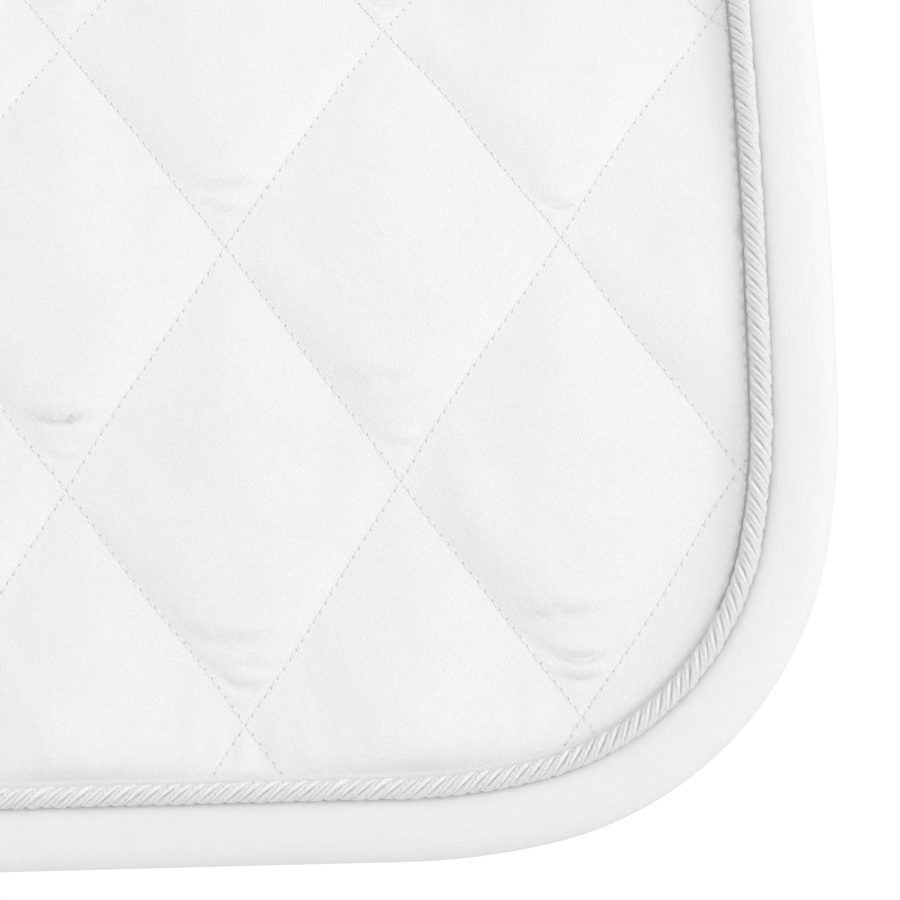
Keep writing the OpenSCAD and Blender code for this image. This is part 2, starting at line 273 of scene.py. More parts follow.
def simulate_cells():
    """Displacements (x, s, outward) of SIM_CELLS cells, each on an even grid. The cloth is in centimetres."""
    n = SIM_STEPS + 1
    t = np.linspace(0, 1, n)
    p, q = np.meshgrid(t, t, indexing="ij")
    flat = np.stack([(p + q - 1) * DIAMOND_W / 20, -(q - p) * DIAMOND_H / 20, 0 * p], -1)
    seam = np.minimum.reduce([p, 1 - p, q, 1 - q])
    rng = np.random.default_rng(11)
    apart = np.arange(SIM_CELLS)[:, None, None, None] * [SIM_SPACING, 0, 0]
    start, slack = [], []
    for offset in apart:
        bumps = sum(
            rng.normal() * 0.02 * np.sin(rng.uniform(1, 7) * math.pi * p + rng.uniform(0, TAU))
            * np.sin(rng.uniform(1, 7) * math.pi * q + rng.uniform(0, TAU))
            for _ in range(14)
        )
        cell = flat + offset
        cell[..., 2] = bumps * np.clip(seam * 10, 0, 1) + 0.12 * np.clip(seam * 4, 0, 1)
        start.append(cell)
        slack.append(flat * [1.008 + 0.006 * rng.random(), 1.026 + 0.018 * rng.random(), 0] + offset)
    index = np.arange(SIM_CELLS * n * n).reshape(SIM_CELLS, n, n)
    quads = np.stack([index[:, :-1, :-1], index[:, :-1, 1:], index[:, 1:, 1:], index[:, 1:, :-1]], -1)
    mesh = bpy.data.meshes.new("cells")
    mesh.from_pydata(np.reshape(start, (-1, 3)).tolist(), [], quads.reshape(-1, 4).tolist())
    cells = bpy.data.objects.new("cells", mesh)
    bpy.context.collection.objects.link(cells)
    cells.vertex_groups.new(name="seams").add(index[:, seam <= 0].ravel().tolist(), 1, "REPLACE")
    cells.shape_key_add(name="sewn")
    loose = cells.shape_key_add(name="loose")
    loose.data.foreach_set("co", np.ravel(slack).astype(np.float32))
    loose.value = 0
    cloth = cells.modifiers.new("cloth", "CLOTH")
    settings = cloth.settings
    settings.vertex_group_mass, settings.pin_stiffness, settings.rest_shape_key = "seams", 1, loose
    settings.quality, settings.mass, settings.air_damping = 8, 0.3, 1
    settings.tension_stiffness = settings.compression_stiffness = 15
    settings.shear_stiffness, settings.bending_stiffness = 5, 0.03
    settings.tension_damping = settings.compression_damping = settings.shear_damping = 5
    settings.use_pressure, settings.uniform_pressure_force = True, SIM_PRESSURE
    settings.effector_weights.gravity = SIM_GRAVITY
    cloth.collision_settings.use_collision = cloth.collision_settings.use_self_collision = False
    scene = bpy.context.scene
    kept_gravity = scene.gravity.copy()
    scene.gravity = (0, -9.81, 0)
    cloth.point_cache.frame_start, cloth.point_cache.frame_end = 1, SIM_FRAMES
    for number in range(1, SIM_FRAMES + 1):
        scene.frame_set(number)
    shaped = cells.evaluated_get(bpy.context.evaluated_depsgraph_get())
    out = np.zeros(SIM_CELLS * n * n * 3, np.float32)
    shaped.data.vertices.foreach_get("co", out)
    moved = out.reshape(SIM_CELLS, n, n, 3) - flat - apart
    bpy.data.objects.remove(cells)
    bpy.data.meshes.remove(mesh)
    scene.gravity = kept_gravity
    scene.frame_set(1)
    return moved * [10, -10, 10]


def crisper(shapes, gain=0.6, reach=3):
    """Makes the creases in the cells stand out more, away from the seams."""
    spread = shapes[..., 2]
    kernel = np.exp(-((np.arange(-2 * reach, 2 * reach + 1) / reach) ** 2))
    kernel /= kernel.sum()

    def blurred(line):
        return np.convolve(np.pad(line, 2 * reach, "edge"), kernel, "valid")

    for axis in (1, 2):
        spread = np.apply_along_axis(blurred, axis, spread)
    t = np.linspace(0, 1, shapes.shape[1])
    edge = np.minimum(t, 1 - t)
    inner = smooth((np.minimum(edge[:, None], edge[None]) - 0.02) / 0.09)
    out = shapes.copy()
    out[..., 2] += gain * inner * (shapes[..., 2] - spread)
    return out


CELL_SHAPES = crisper(simulate_cells())


# ---- Mesh building ----
def add_mesh(name, points, faces, uvs=None, materials=()):
    """A smooth mesh: points in millimetres, arrays of faces, and layers of UVs, one for each face corner."""
    faces = [np.asarray(f, np.int32) for f in faces if len(f)]
    loops = np.concatenate([f.ravel() for f in faces])
    sizes = np.concatenate([np.full(len(f), f.shape[1]) for f in faces])
    mesh = bpy.data.meshes.new(name)
    mesh.vertices.add(len(points))
    mesh.vertices.foreach_set("co", (np.asarray(points, float) * MM).astype(np.float32).ravel())
    mesh.loops.add(len(loops))
    mesh.loops.foreach_set("vertex_index", loops)
    mesh.polygons.add(len(sizes))
    mesh.polygons.foreach_set("loop_start", np.r_[0, np.cumsum(sizes)[:-1]].astype(np.int32))
    for layer, values in (uvs or {}).items():
        mesh.uv_layers.new(name=layer).data.foreach_set("uv", np.asarray(values, np.float32).ravel())
    mesh.update(calc_edges=True)
    mesh.polygons.foreach_set("use_smooth", np.ones(len(sizes), bool))
    piece = bpy.data.objects.new(name, mesh)
    bpy.context.collection.objects.link(piece)
    for material in materials:
        mesh.materials.append(material)
    return piece


def ring_faces(rows, columns):
    """The quads between rings of points, the two end faces, and where each quad starts."""
    i, j = (a.ravel() for a in np.meshgrid(np.arange(rows - 1), np.arange(columns), indexing="ij"))
    k = (j + 1) % columns
    quads = np.stack([i * columns + j, i * columns + k, (i + 1) * columns + k, (i + 1) * columns + j], -1)
    ends = np.stack([np.arange(columns)[::-1], (rows - 1) * columns + np.arange(columns)])
    return quads, ends, i, j


def loft(rings, capped=True, reverse=False):
    """Points, faces and corner positions (row, column) of a surface through rings of points."""
    rows, columns = rings.shape[:2]
    quads, ends, i, j = ring_faces(rows, columns)
    corner_row = np.stack([i, i, i + 1, i + 1], -1)
    corner_column = np.stack([j, j + 1, j + 1, j], -1)
    faces = [quads]
    corners = [np.stack([corner_row, corner_column], -1).reshape(-1, 2)]
    if capped:
        faces.append(ends)
        corners.append(np.stack([np.repeat([0, rows - 1], columns), np.ravel(ends % columns)], -1))
    if reverse:
        faces = [f[:, ::-1] for f in faces]
        corners = [c.reshape(len(f), -1, 2)[:, ::-1].reshape(-1, 2) for c, f in zip(corners, faces)]
    return rings.reshape(-1, 3), faces, np.concatenate(corners)


def corner_uv(corners, along, around):
    """UVs in metres from the position of each ring and of each point round it."""
    around = np.r_[around, 2 * around[-1] - around[-2]]
    return np.stack([np.asarray(along)[corners[:, 0]], around[corners[:, 1]]], -1) * MM


def add_loft(name, rings, along, section, cover, reverse):
    """A closed surface through rings of points, with UVs along the rings and round the section."""
    points, faces, corners = loft(rings, reverse=reverse)
    uv = corner_uv(corners, along, running_length(section))
    return add_mesh(name, points, faces, {"flat": uv}, [cover])


# ---- Materials ----
def set_inputs(node, values):
    for socket, value in values.items():
        node.inputs[socket].default_value = value


def material(name, build, roughness, sheen=0.0, specular=0.3):
    """A material from a build function, which is handed the node makers below."""
    made = bpy.data.materials.new(name)
    made.use_nodes = True
    tree = made.node_tree
    shader = tree.nodes["Principled BSDF"]
    set_inputs(shader, {"Roughness": roughness, "Specular IOR Level": specular})
    set_inputs(shader, {"Sheen Weight": sheen, "Sheen Roughness": 0.45})

    def math_node(operation, *values):
        node = tree.nodes.new("ShaderNodeMath")
        node.operation = operation
        for socket, value in zip(node.inputs, values):
            if isinstance(value, (int, float)):
                socket.default_value = value
            else:
                tree.links.new(value, socket)
        return node.outputs[0]

    def plus(base, value, share):
        """base + value * share"""
        return math_node("ADD", base, math_node("MULTIPLY", value, share))

    def uv(layer):
        node = tree.nodes.new("ShaderNodeUVMap")
        node.uv_map = layer
        parts = tree.nodes.new("ShaderNodeSeparateXYZ")
        tree.links.new(node.outputs[0], parts.inputs[0])
        return parts.outputs[0], parts.outputs[1], node.outputs[0]

    def noise(vector, scale, detail=2.0, roughness=0.5):
        node = tree.nodes.new("ShaderNodeTexNoise")
        set_inputs(node, {"Scale": scale, "Detail": detail, "Roughness": roughness})
        if vector is not None:
            tree.links.new(vector, node.inputs["Vector"])
        else:
            place_node = tree.nodes.new("ShaderNodeTexCoord")
            tree.links.new(place_node.outputs["Object"], node.inputs["Vector"])
        return node.outputs[0]

    def finish(colour, shade, height):
        """The base colour times shade, and a bump of the given height in metres."""
        mix = tree.nodes.new("ShaderNodeMix")
        mix.data_type = "RGBA"
        mix.blend_type = "MULTIPLY"
        set_inputs(mix, {"Factor": 1, "A": (*colour, 1)})
        grey = tree.nodes.new("ShaderNodeCombineColor")
        for i in range(3):
            tree.links.new(shade, grey.inputs[i])
        tree.links.new(grey.outputs[0], mix.inputs["B"])
        tree.links.new(mix.outputs["Result"], shader.inputs["Base Color"])
        bump = tree.nodes.new("ShaderNodeBump")
        set_inputs(bump, {"Distance": 1, "Strength": 1})
        tree.links.new(height, bump.inputs["Height"])
        tree.links.new(bump.outputs[0], shader.inputs["Normal"])

    build(math_node, plus, uv, noise, finish)
    return made


def twill(colour, pitch, depth, groove_shade, holes):
    """Cotton with steep ribs, pitch metres apart, painted darker in the grooves between the ribs as shade,
    and needle holes along the quilting, darkened as painted shade, if holes is true.
    """

    def build(m, plus, uv, noise, finish):
        x, s, flat = uv("flat")
        soft = noise(flat, 900, 2)
        rib = m("ADD", m("MULTIPLY", x, 0.91 / pitch), m("MULTIPLY", s, -0.42 / pitch))
        rib = plus(rib, soft, 0.9)
        ridge = m("ABSOLUTE", m("SINE", m("MULTIPLY", rib, math.pi)))
        beads = m("SINE", m("MULTIPLY", s, TAU / (pitch * 0.62)))
        patchy = noise(flat, 1300, 1)
        weave = m("MULTIPLY", ridge, plus(m("MULTIPLY", patchy, 1.1), beads, 0.08))
        broad = noise(flat, 60, 3)
        slub = noise(flat, 420, 3, 0.65)
        height = plus(m("MULTIPLY", weave, depth), slub, depth * 2.2)
        height = plus(height, broad, 0.0006)
        # Painted shade: the cloth is darker in the grooves between the ribs, where the bump is low.
        shade = m("ADD", 0.96 - groove_shade, m("MULTIPLY", weave, groove_shade))
        shade = plus(shade, slub, 0.05)
        shade = plus(shade, broad, 0.03)
        if holes:
            def beside(value, unit_length):
                """Millimetres from the nearest whole value."""
                return m("MULTIPLY", m("ABSOLUTE", m("SUBTRACT", value, m("ROUND", value))), unit_length)

            p, q, _ = uv("seams")
            dark = None
            for across, along in ((p, q), (q, p)):
                off = beside(across, ROW_GAP)
                step = beside(m("MULTIPLY", along, STITCHES), SIDE_LENGTH / STITCHES)
                off = m("POWER", m("DIVIDE", off, 0.36), 2)
                reach = m("ADD", off, m("POWER", m("DIVIDE", step, 0.42), 2))
                hole = m("SUBTRACT", 1, m("MINIMUM", reach, 1))
                dark = hole if dark is None else m("MAXIMUM", dark, hole)
            # Painted shade: the cloth is darker at the needle holes, which are also sunk in the bump.
            shade = m("MULTIPLY", shade, m("SUBTRACT", 1, m("MULTIPLY", dark, 0.16)))
            height = m("SUBTRACT", height, m("MULTIPLY", dark, 0.0002))
        finish(colour, shade, height)

    return build


def yarn(colour, across, along, depth, groove_shade):
    """Thread whose fibres slant round it, with across and along waves to the metre in the UV's directions. It
    is painted darker in the troughs between the fibres and lighter on their crests, as shade.
    """

    def build(m, plus, uv, noise, finish):
        x, y, flat = uv("flat")
        rough = noise(flat, 900, 2)
        turns = plus(m("MULTIPLY", y, across), x, along)
        fibre = m("SINE", m("MULTIPLY", plus(turns, rough, 0.5), TAU))
        height = plus(m("MULTIPLY", fibre, depth), rough, depth * 2)
        # Painted shade: darker in the troughs between the fibres, lighter on their crests.
        shade = plus(0.94, fibre, groove_shade)
        shade = plus(shade, rough, 0.04)
        finish(colour, shade, height)

    return build


def webbing(colour):
    """Narrow woven tape with ribs across it."""

    def build(m, plus, uv, noise, finish):
        along, across, flat = uv("flat")
        rib = m("SINE", m("MULTIPLY", along, TAU / 0.0016))
        warp = m("SINE", m("MULTIPLY", across, TAU / 0.0011))
        weave = m("MULTIPLY", m("ADD", rib, 1), m("ADD", m("MULTIPLY", warp, m("SIGN", rib)), 1.4))
        rough = noise(flat, 900, 3, 0.6)
        height = plus(m("MULTIPLY", weave, 0.00006), rough, 0.00018)
        shade = plus(0.9, weave, 0.014)
        shade = plus(shade, rough, 0.06)
        finish(colour, shade, height)

    return build


def fuzzy(colour, scale, depth):
    """The pile of a touch fastener, or loose wadding."""

    def build(m, plus, uv, noise, finish):
        fine = noise(None, scale, 4, 0.7)
        coarse = noise(None, scale / 6, 2)
        height = plus(m("MULTIPLY", fine, depth), coarse, depth)
        shade = plus(0.8, fine, 0.3)
        finish(colour, shade, height)

    return build


def hooks(colour):
    """Rows of tiny hooks."""

    def build(m, plus, uv, noise, finish):
        along, across, flat = uv("flat")
        row = m("SINE", m("MULTIPLY", along, TAU / 0.0017))
        column = m("SINE", m("MULTIPLY", across, TAU / 0.0013))
        dot = m("MAXIMUM", m("MULTIPLY", row, column), 0)
        rough = noise(flat, 1500, 3)
        height = plus(m("MULTIPLY", dot, 0.0007), rough, 0.0002)
        shade = plus(0.78, dot, 0.22)
        finish(colour, shade, height)

    return build


# The fourth number given to twill and the last given to yarn set the painted shade in the grooves between
# ribs or fibres.
COTTON = material(
    "white_cotton_twill", twill((0.93, 0.93, 0.932), 0.00078, 0.00006, 0.12, True),
    0.9, sheen=0.12, specular=0.2
)
LINING = material(
    "white_cotton_lining", twill((0.88, 0.88, 0.875), 0.00060, 0.00002, 0.05, True),
    0.95, sheen=0.1, specular=0.15
)
BINDING = material(
    "white_binding_tape", twill((0.846, 0.846, 0.849), 0.00070, 0.00001, 0.03, False),
    0.85, sheen=0.15, specular=0.25
)
ROPE = material(
    "white_satin_cord", yarn((0.99, 0.99, 0.992), 1400, 1000, 0.00006, 0.06), 0.32, sheen=0.15, specular=0.5
)
THREAD = material("white_thread", yarn((0.93, 0.93, 0.935), 3000, 1500, 0.000004, 0.02), 0.55, specular=0.4)
WEBBING = material("white_webbing", webbing((0.87, 0.87, 0.875)), 0.8, specular=0.25)
PILE = material("white_loop_pile", fuzzy((0.86, 0.86, 0.865), 2200, 0.0006), 1.0, specular=0.1)
HOOKS = material("white_hook_tape", hooks((0.84, 0.84, 0.845)), 0.6, specular=0.4)
WADDING = material("white_wadding", fuzzy((0.93, 0.93, 0.925), 700, 0.001), 1.0, sheen=0.2, specular=0.1)


# ---- The quilted layers of one flap ----
def under_straps(x, s):
    """The most that the face may stand out, where webbing is sewn down on it."""
    level = np.full(np.shape(x), 9.0)
    patches = (
        (LOOP_X, LOOP_S, LOOP_LENGTH / 2, LOOP_W / 2, -1.0),
        (STRAP_X, STRAP_S + STRAP_LENGTH / 2 - 2, STRAP_W / 2, STRAP_LENGTH / 2 + 2, -0.6),
    )
    for cx, cs, half_x, half_s, depth in patches:
        beyond = np.hypot(np.maximum(np.abs(x - cx) - half_x, 0), np.maximum(np.abs(s - cs) - half_s, 0))
        level = np.minimum(level, depth + 8 * smooth(beyond / 16))
    return level


def soft_min(a, b, k=0.5):
    low = np.minimum(a, b)
    return low - k * np.log1p(np.exp(-np.abs(a - b) / k)) * (np.abs(a - b) < 12 * k)


def rounded(edge, d, inside):
    """Levels that leave edge where inside is 0 and come round to d where it is 1."""
    return edge + (d - edge) * np.sqrt(1 - (1 - np.clip(inside, 0, 1)) ** 2)


FACE_BY_CORD, FACE_BY_SPINE = -0.1, -1.6
LINING_BY_BINDING, LINING_BY_SPINE = -7.6, -10.6


def face_level(x, s, height, inset, sag):
    """Where the face's outer side lies. sag is 1 along the bottom edge, where cells hang over the cord."""
    rolled = smooth((inset - 23) / 4) * (1 - smooth((inset - 29) / 14))
    gathers = np.sin(x / 1.15 + 2.2 * np.sin(x / 9.7)) * (0.6 + 0.4 * np.sin(x / 23 + 1))
    d = SEWN_FACE + PUFF * height * (1 + 0.25 * sag * (1 - smooth((inset - 30) / 25)))
    d = rounded(FACE_BY_CORD - 1.0 * sag, d, (inset - 24.2) / 8) + 0.2 * sag * rolled * gathers
    d = rounded(FACE_BY_SPINE, d, (np.abs(s) - 8) / 14)
    return soft_min(d, under_straps(x, s))


def lining_level(x, s, height, inset, sag):
    """Where the outer side of the lining lies, towards the horse."""
    d = rounded(LINING_BY_BINDING, SEWN_LINING - height, (inset - 22.5) / 12)
    return rounded(LINING_BY_SPINE, d, (np.abs(s) - 9) / 12)


EASE, EASE_LENGTH = 0.55, 11
# The lowest and highest level of each crease above a cell's lower corner, and its share of the cell's width
CREASES = ((7.5, 11, 0.95), (14.5, 19.5, 0.9), (23, 28.5, 0.85))


def ease(p, q):
    """A share from 0 to 1 that makes the cloth rise from its seams less steeply than it does as simulated."""
    across = DIAMOND_W * DIAMOND_H / 2 / SIDE_LENGTH
    share = 1.0
    for t in (p, 1 - p, q, 1 - q):
        share = share * (1 - EASE * np.exp(-t * across / EASE_LENGTH))
    return share


def pinch(p, q, rng):
    """Sharp creases across a cell's lower corner, where spare cloth gathers, in millimetres outward."""
    above = DIAMOND_H / 2 * (1 - q + p)
    x = DIAMOND_W / 2 * (p + q - 1)
    out = np.zeros(p.shape)
    for low, high, share in CREASES:
        level = rng.uniform(low, high)
        room = WIDENING * level
        half = room * share * rng.uniform(0.72, 1.0)
        middle = rng.uniform(-1, 1) * (room - half)
        bend = rng.uniform(-0.2, 1.0) * 0.09 * half
        line = level + bend * ((x - middle) / half) ** 2 + rng.uniform(-0.07, 0.07) * (x - middle)
        fade = smooth(1.15 - np.abs(x - middle) / half)
        off = above - line
        size = rng.uniform(0.4, 1.35) if rng.random() < 0.72 else 0.0
        out += size * fade * (0.8 * np.exp(-(((off - 1.9) / 1.7) ** 2)) - np.exp(-((off / 1.05) ** 2)))
    return out * smooth(np.minimum.reduce([p, 1 - p, q, 1 - q]) / 0.035)


class Lattice:
    """The quilting's grid, count steps to a cell. It ends at cut, or tuck further out along the bottom."""

    def __init__(self, count, crowd, cut, tuck=0.0):
        first, last = CELLS
        ticks = cell_ticks(count, crowd)
        line = np.concatenate([n + ticks for n in range(first, last)] + [[last]])
        self.count, self.ticks = count, np.r_[ticks, 1.0]
        self.p, self.q = np.meshgrid(line, line, indexing="ij")
        x, s = lattice_point(self.p, self.q)
        inset, direction = edge_distance(x, s)
        sag = np.clip(-direction[..., 1], 0, 1) ** 2
        cut = cut - tuck * sag
        inside = (inset >= cut) & (s >= 0)
        keep = inside[:-1, :-1] | inside[1:, :-1] | inside[1:, 1:] | inside[:-1, 1:]
        i, j = np.nonzero(keep)
        width = len(line)
        start = i * width + j
        quads = np.stack([start, start + 1, start + width + 1, start + width], -1)
        self.used, quads = np.unique(quads, return_inverse=True)
        self.quads = quads.reshape(-1, 4)
        pull = np.clip(cut - inset, 0, None)[..., None] * direction
        self.x = np.ravel(x + pull[..., 0])[self.used]
        self.s = np.clip(np.ravel(s + pull[..., 1])[self.used], 0, None)
        self.inset = np.maximum(inset, cut).ravel()[self.used]
        self.sag = sag.ravel()[self.used]
        self.seams = np.stack([self.p.ravel()[self.used], self.q.ravel()[self.used]], -1)

    def shapes(self, seed):
        """The displacement of each used point, from simulated cells dealt at random, some mirrored."""
        read = cubic_weights(self.ticks, SIM_STEPS)
        dealt = np.zeros(self.p.shape + (3,))
        rng = np.random.default_rng(seed)
        cells = range(CELLS[1] - CELLS[0])
        for i in cells:
            for j in cells:
                shape = CELL_SHAPES[rng.integers(SIM_CELLS)] * (0.92 + 0.16 * rng.random())
                if rng.random() < 0.5:
                    shape = shape[::-1, ::-1].transpose(1, 0, 2) * [-1, 1, 1]
                block = np.einsum("ai,bj,ijk->abk", read, read, shape)
                grid = np.meshgrid(self.ticks, self.ticks, indexing="ij")
                block[..., 2] = block[..., 2] * ease(*grid) + pinch(*grid, rng)
                a, b = i * self.count, j * self.count
                dealt[a : a + self.count + 1, b : b + self.count + 1] = block
        return dealt.reshape(-1, 3)[self.used]

    def border(self):
        """The edges of the kept quads that only one quad has, in the quad's own direction."""
        edges = np.concatenate([self.quads[:, [k, (k + 1) % 4]] for k in range(4)])
        _, back, count = np.unique(np.sort(edges, 1), axis=0, return_inverse=True, return_counts=True)
        return edges[count[back.ravel()] == 1]


FINE = Lattice(42, 0.55, 22.0, 3.5)
MEDIUM = Lattice(20, 0.45, 18.0)
COARSE = Lattice(12, 0.3, 15.0)


def wall_faces(edges, lower):
    return np.stack([edges[:, 1], edges[:, 0], lower[:, 0], lower[:, 1]], -1)


def with_skirt(grid, points, skirt):
    """Adds a wall from a layer's border to the skirt, and tells the grid point that each point is from."""
    edges = grid.border()
    rim, place_of = np.unique(edges, return_inverse=True)
    place_of = place_of.reshape(-1, 2) + len(points)
    quads = np.concatenate([grid.quads, wall_faces(edges, place_of)])
    return np.concatenate([points, skirt[rim]]), quads, np.r_[np.arange(len(points)), rim]


def quilted_layer(name, grid, side, level, seed, skirt_d, outward, cover):
    """The face or the lining of one flap. Its skirt stays inside the binding, at the level skirt_d."""
    moved = grid.shapes(seed)
    calm = smooth((grid.inset - 20) / 10)
    x, s = grid.x + moved[:, 0] * calm, grid.s + moved[:, 1] * calm
    layer = place(x, s, level(x, s, moved[:, 2], grid.inset, grid.sag), side)
    skirt = place(grid.x, grid.s, np.full(len(layer), skirt_d), side)
    points, quads, source = with_skirt(grid, layer, skirt)
    if outward != (side < 0):
        quads = quads[:, ::-1]
    corner = source[quads.ravel()]
    flat = np.stack([-side * grid.x[corner], grid.s[corner]], -1) * MM
    return add_mesh(name, points, [quads], {"flat": flat, "seams": grid.seams[corner]}, [cover])


WADDING_GAP = 1.1


def wadding_layer(name, grid, side, seed):
    """The filling: a closed form just inside the face and the lining."""
    shape = grid.x, grid.s, grid.shapes(seed)[:, 2], grid.inset, grid.sag
    top = place(grid.x, grid.s, face_level(*shape) - WADDING_GAP, side)
    bottom = place(grid.x, grid.s, lining_level(*shape) + WADDING_GAP, side)
    n = len(top)
    edges = grid.border()
    quads = np.concatenate([grid.quads, grid.quads[:, ::-1] + n, wall_faces(edges, edges + n)])
    if side > 0:
        quads = quads[:, ::-1]
    return add_mesh(name, np.concatenate([top, bottom]), [quads], None, [WADDING])


# ---- Edge binding and twisted cord ----
# Inset and level of points on the tape's outer side, from under the face round the pad's edge to the lining
BINDING_OUTSIDE = np.array([
    (23.2, -2.5), (22.3, -2.0), (21.3, -1.5), (19.4, -1.3), (18, -1.3), (17, -1.2), (16.3, -0.95),
    (15.8, -0.2), (15, 0.3), (13.6, 0.68), (12, 0.84), (10, 0.88), (8, 0.8), (6, 0.5), (4.4, 0.1),
    (3, -0.55), (1.7, -1.45), (0.7, -2.6), (0.15, -3.9), (0.3, -5.3), (1.1, -6.7), (2.4, -7.8), (4.2, -8.6),
    (6.5, -9.1), (9, -9.35), (12, -9.4), (15, -9.3), (18, -9.1), (20.6, -8.8), (22.2, -8.4),
])
BINDING_T = 0.9


def offset_line(line, gap):
    along = unit(np.gradient(line, axis=0))
    return line + gap * np.stack([-along[:, 1], along[:, 0]], -1)


def binding(name, side):
    inside = offset_line(BINDING_OUTSIDE, -BINDING_T)
    section = np.concatenate([BINDING_OUTSIDE, inside[::-1]])
    flat = edge_sections(section[:, 0])
    along = EDGE_ALONG[:, None]
    ripple = 0.16 * np.sin(along / 9.1 + 1.3 * np.sin(along / 43)) * np.sin(along / 17.3 + 0.5)
    bow = np.exp(-(((section[:, 0] - 9) / 5) ** 2)) * (section[:, 1] > -4)
    d = section[None, :, 1] + ripple * bow[None]
    rings = place(flat[..., 0], np.clip(flat[..., 1], 0, None), d, side)
    rings[[0, -1], :, 1] = 0
    points, faces, corners = loft(rings, capped=False, reverse=side > 0)
    span = len(BINDING_OUTSIDE)
    ends = []
    for row in (0, len(rings) - 1):
        a = np.arange(span - 1)
        b = len(section) - 1 - a
        end = np.stack([a, a + 1, b - 1, b], -1) + row * len(section)
        ends.append(end if (row == 0) == (side > 0) else end[:, ::-1])
    ends = np.concatenate(ends)
    around = running_length(section)
    uv = corner_uv(corners, EDGE_ALONG, around)
    row, column = np.divmod(ends.ravel(), len(section))
    end_uv = np.stack([EDGE_ALONG[row], around[column]], -1) * MM
    return add_mesh(name, points, [faces[0], ends], {"flat": np.concatenate([uv, end_uv])}, [BINDING])


CORD_LAY = 14.3  # the length in which the cord's strands go round once
CORD_STEP = 0.9
CORD_D = 1.7  # the level of the cord's middle
STRANDS = 4
STRAND_TOP, STRAND_GAP = 2.82, 1.05  # radii to a strand's top and to the gap beside it
PLY_LINE = 0.38  # depth of the line between a strand's two plies


def cord_section():
    """Points round the cord's section, with a shallow line between the two plies of each strand."""
    across = np.array([-1, -0.96, -0.86, -0.66, -0.4, -0.16, 0, 0.16, 0.4, 0.66, 0.86, 0.96])
    crown = np.sqrt(1 - across**2)
    radius = STRAND_GAP + (STRAND_TOP - STRAND_GAP) * crown - PLY_LINE * np.exp(-((across / 0.15) ** 2))
    turn = TAU / STRANDS * (np.arange(STRANDS)[:, None] + across / 2)
    return np.stack([radius * np.cos(turn), radius * np.sin(turn)], -1).reshape(-1, 2)


def twisted_cord(name, side):
    """The cord along the inner edge of the binding. Its twist has the same hand on both sides of the pad."""
    flat = edge_sections([CORD_INSET])[:, 0]
    flat[:, 1] = np.clip(flat[:, 1], 0, None)
    along = running_length(flat)
    count = round(along[-1] / CORD_STEP)
    t = np.linspace(0, along[-1], count + 1)
    x, s = np.interp(t, along, flat[:, 0]), np.interp(t, along, flat[:, 1])
    centre = place(x, s, CORD_D, side)
    out = unit(place(x, s, CORD_D + 1, side) - centre)
    ahead = unit(np.gradient(centre, axis=0))
    out = unit(out - (out * ahead).sum(1, keepdims=True) * ahead)
    out[[0, -1], 1] = 0
    beside = np.cross(ahead, out) * (-side)
    section = cord_section()
    # A whole number of strands goes by, so the two sides meet in step at both ends
    turns = round(STRANDS * along[-1] / CORD_LAY) / STRANDS
    twist = (side * TAU * turns * t / along[-1])[:, None]
    strand = np.repeat(np.arange(STRANDS), len(section) // STRANDS)
    rng = np.random.default_rng(3)
    phase, speed = rng.uniform(0, TAU, (4, STRANDS)), np.array([1 / 3.1, 1 / 4.7, 1 / 7.9, 1 / 13.3])
    uneven = sum(np.sin(t[:, None] * speed[k] + phase[k][strand]) for k in range(4))
    ends = np.clip(np.minimum(t, t[-1] - t) / 20, 0, 1)[:, None]
    swell, slip = 1 + 0.022 * uneven * ends, 0.05 * np.roll(uneven, 7, axis=0) * ends
    across = swell * (section[:, 0] * np.cos(twist + slip) - section[:, 1] * np.sin(twist + slip))
    over = swell * (section[:, 0] * np.sin(twist + slip) + section[:, 1] * np.cos(twist + slip))
    rings = centre[:, None] + across[..., None] * out[:, None] + over[..., None] * beside[:, None]
    return add_loft(name, rings, t, section, ROPE, side > 0)


# ---- Stitches ----
# Along the stitch, in half lengths, outward in millimetres, and the share of the thread's radius
STITCH_RINGS = np.array([(-1.0, -0.45, 0.5), (-0.55, 0.0, 1.0), (0.55, 0.0, 1.0), (1.0, -0.45, 0.5)])


THREAD_SIDES = 5
QUILTING_STITCH = 2.3  # the length that shows
BOX_PITCH = 2.9


def stitches(name, at, along, normal, length, radius):
    """Short arched threads. at, along and normal are arrays of points and unit directions in millimetres."""
    beside = np.cross(along, normal)
    angle = np.arange(THREAD_SIDES) * TAU / THREAD_SIDES
    rings = np.empty((len(at), len(STITCH_RINGS), THREAD_SIDES, 3))
    for i, (t, lift, wide) in enumerate(STITCH_RINGS):
        centre = at + along * (t * length / 2) + normal * (lift + radius * 0.6)
        for j, a in enumerate(angle):
            rings[:, i, j] = centre + radius * wide * (math.cos(a) * normal + math.sin(a) * beside)
    rows, columns = rings.shape[1:3]
    quad, ends, _, _ = ring_faces(rows, columns)
    start = (np.arange(len(at)) * rows * columns)[:, None, None]
    faces = [(quad[None] + start).reshape(-1, 4), (ends[None] + start).reshape(-1, columns)]
    corner = np.concatenate([f.ravel() for f in faces])
    row, column = (corner % (rows * columns)) // columns, corner % columns
    uv = np.stack([row * length / 3, column * radius * TAU / columns], -1) * MM
    return add_mesh(name, rings.reshape(-1, 3), faces, {"flat": uv}, [THREAD])


def frame_at(rows, d, side):
    """Points of rows of (x, s, dx, ds) at level d, and the directions along (dx, ds) and outward there."""
    x, s, dx, ds = rows.T
    at = place(x, s, d, side)
    along = place(x + dx * 0.1, s + ds * 0.1, d, side) - place(x - dx * 0.1, s - ds * 0.1, d, side)
    normal = place(x, s, d + 0.5, side) - at
    along = unit(along)
    return at, along, unit(normal - (normal * along).sum(-1, keepdims=True) * along)


